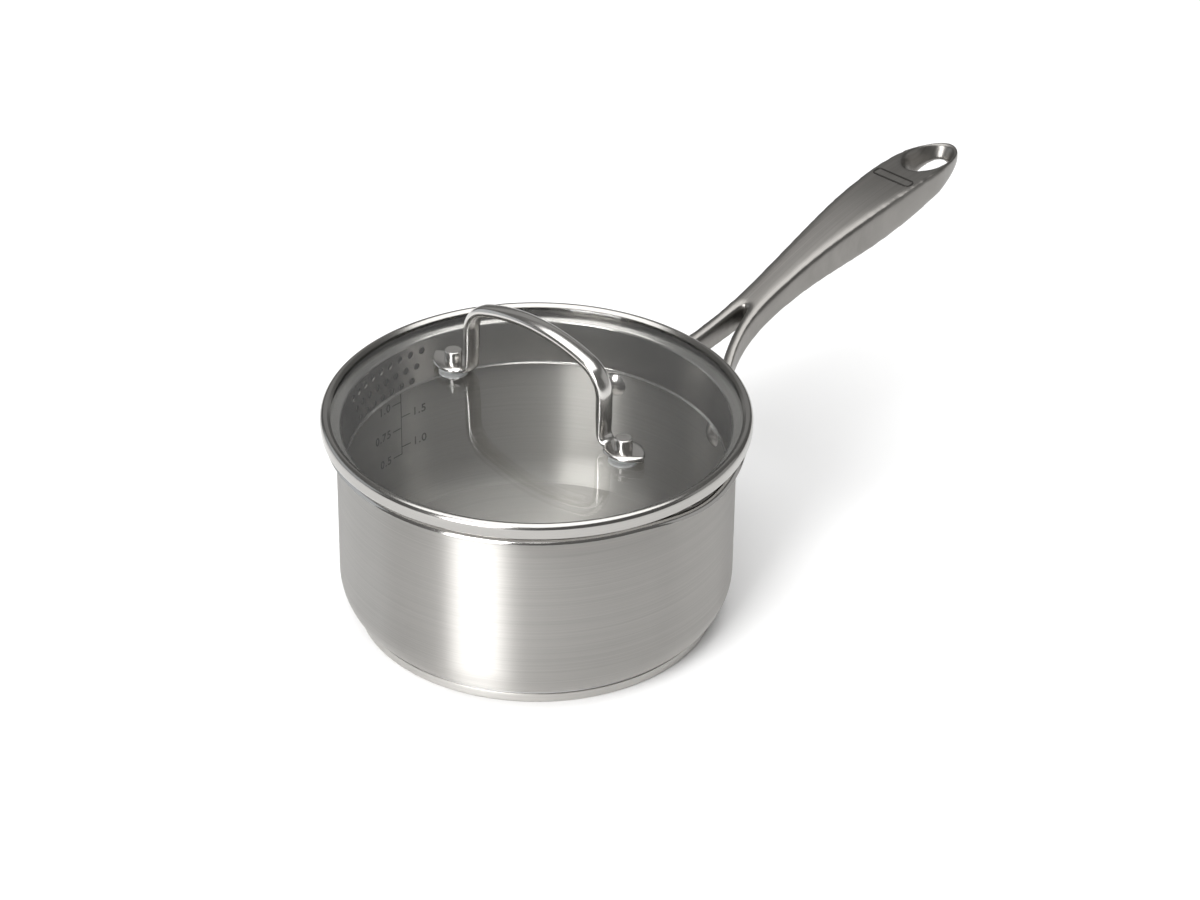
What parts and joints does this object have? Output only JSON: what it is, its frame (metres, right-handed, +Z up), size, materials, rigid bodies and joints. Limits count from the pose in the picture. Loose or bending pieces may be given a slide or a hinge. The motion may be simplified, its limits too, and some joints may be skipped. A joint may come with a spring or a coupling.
{
  "type": "saucepan with glass lid",
  "caption": "Steel saucepan with a riveted forked long handle, dipped pouring lips and a glass lid whose steel ring carries strainer holes and a bowed bar handle.",
  "frame": {"origin": "on the pan's axis at the underside of its base", "axes": "+X along the long handle, +Z up out of the pan, +Y to the left when looking from the pan along the handle; the lid handle lies along Y"},
  "size_m": [0.3451, 0.1722, 0.1314],
  "materials": {
    "satin_steel": "satin, brushed round the pan",
    "core_aluminium": "plain",
    "base_steel": "fine satin",
    "handle_steel": "satin, brushed along the handle",
    "polished_steel": "polished",
    "lid_glass": "clear, smooth",
    "clear_silicone": "translucent, matte"
  },
  "bodies": {
    "pan": {"pan_body": "satin_steel", "base_core": "core_aluminium", "base_cap": "base_steel", "pan_handle": "handle_steel", "handle_rivets": "polished_steel"},
    "lid": {"lid_ring": "polished_steel", "lid_glass": "lid_glass", "lid_handle": "polished_steel", "foot_gaskets": "clear_silicone", "screw_washers": "clear_silicone", "lid_screws": "polished_steel", "lid_nuts": "polished_steel"}
  },
  "joints": [
    {"name": "lid_lift", "type": "slide", "parent": "pan", "child": "lid", "axis": [0, 0, 1], "range_m": [0, 0.12]}
  ]
}
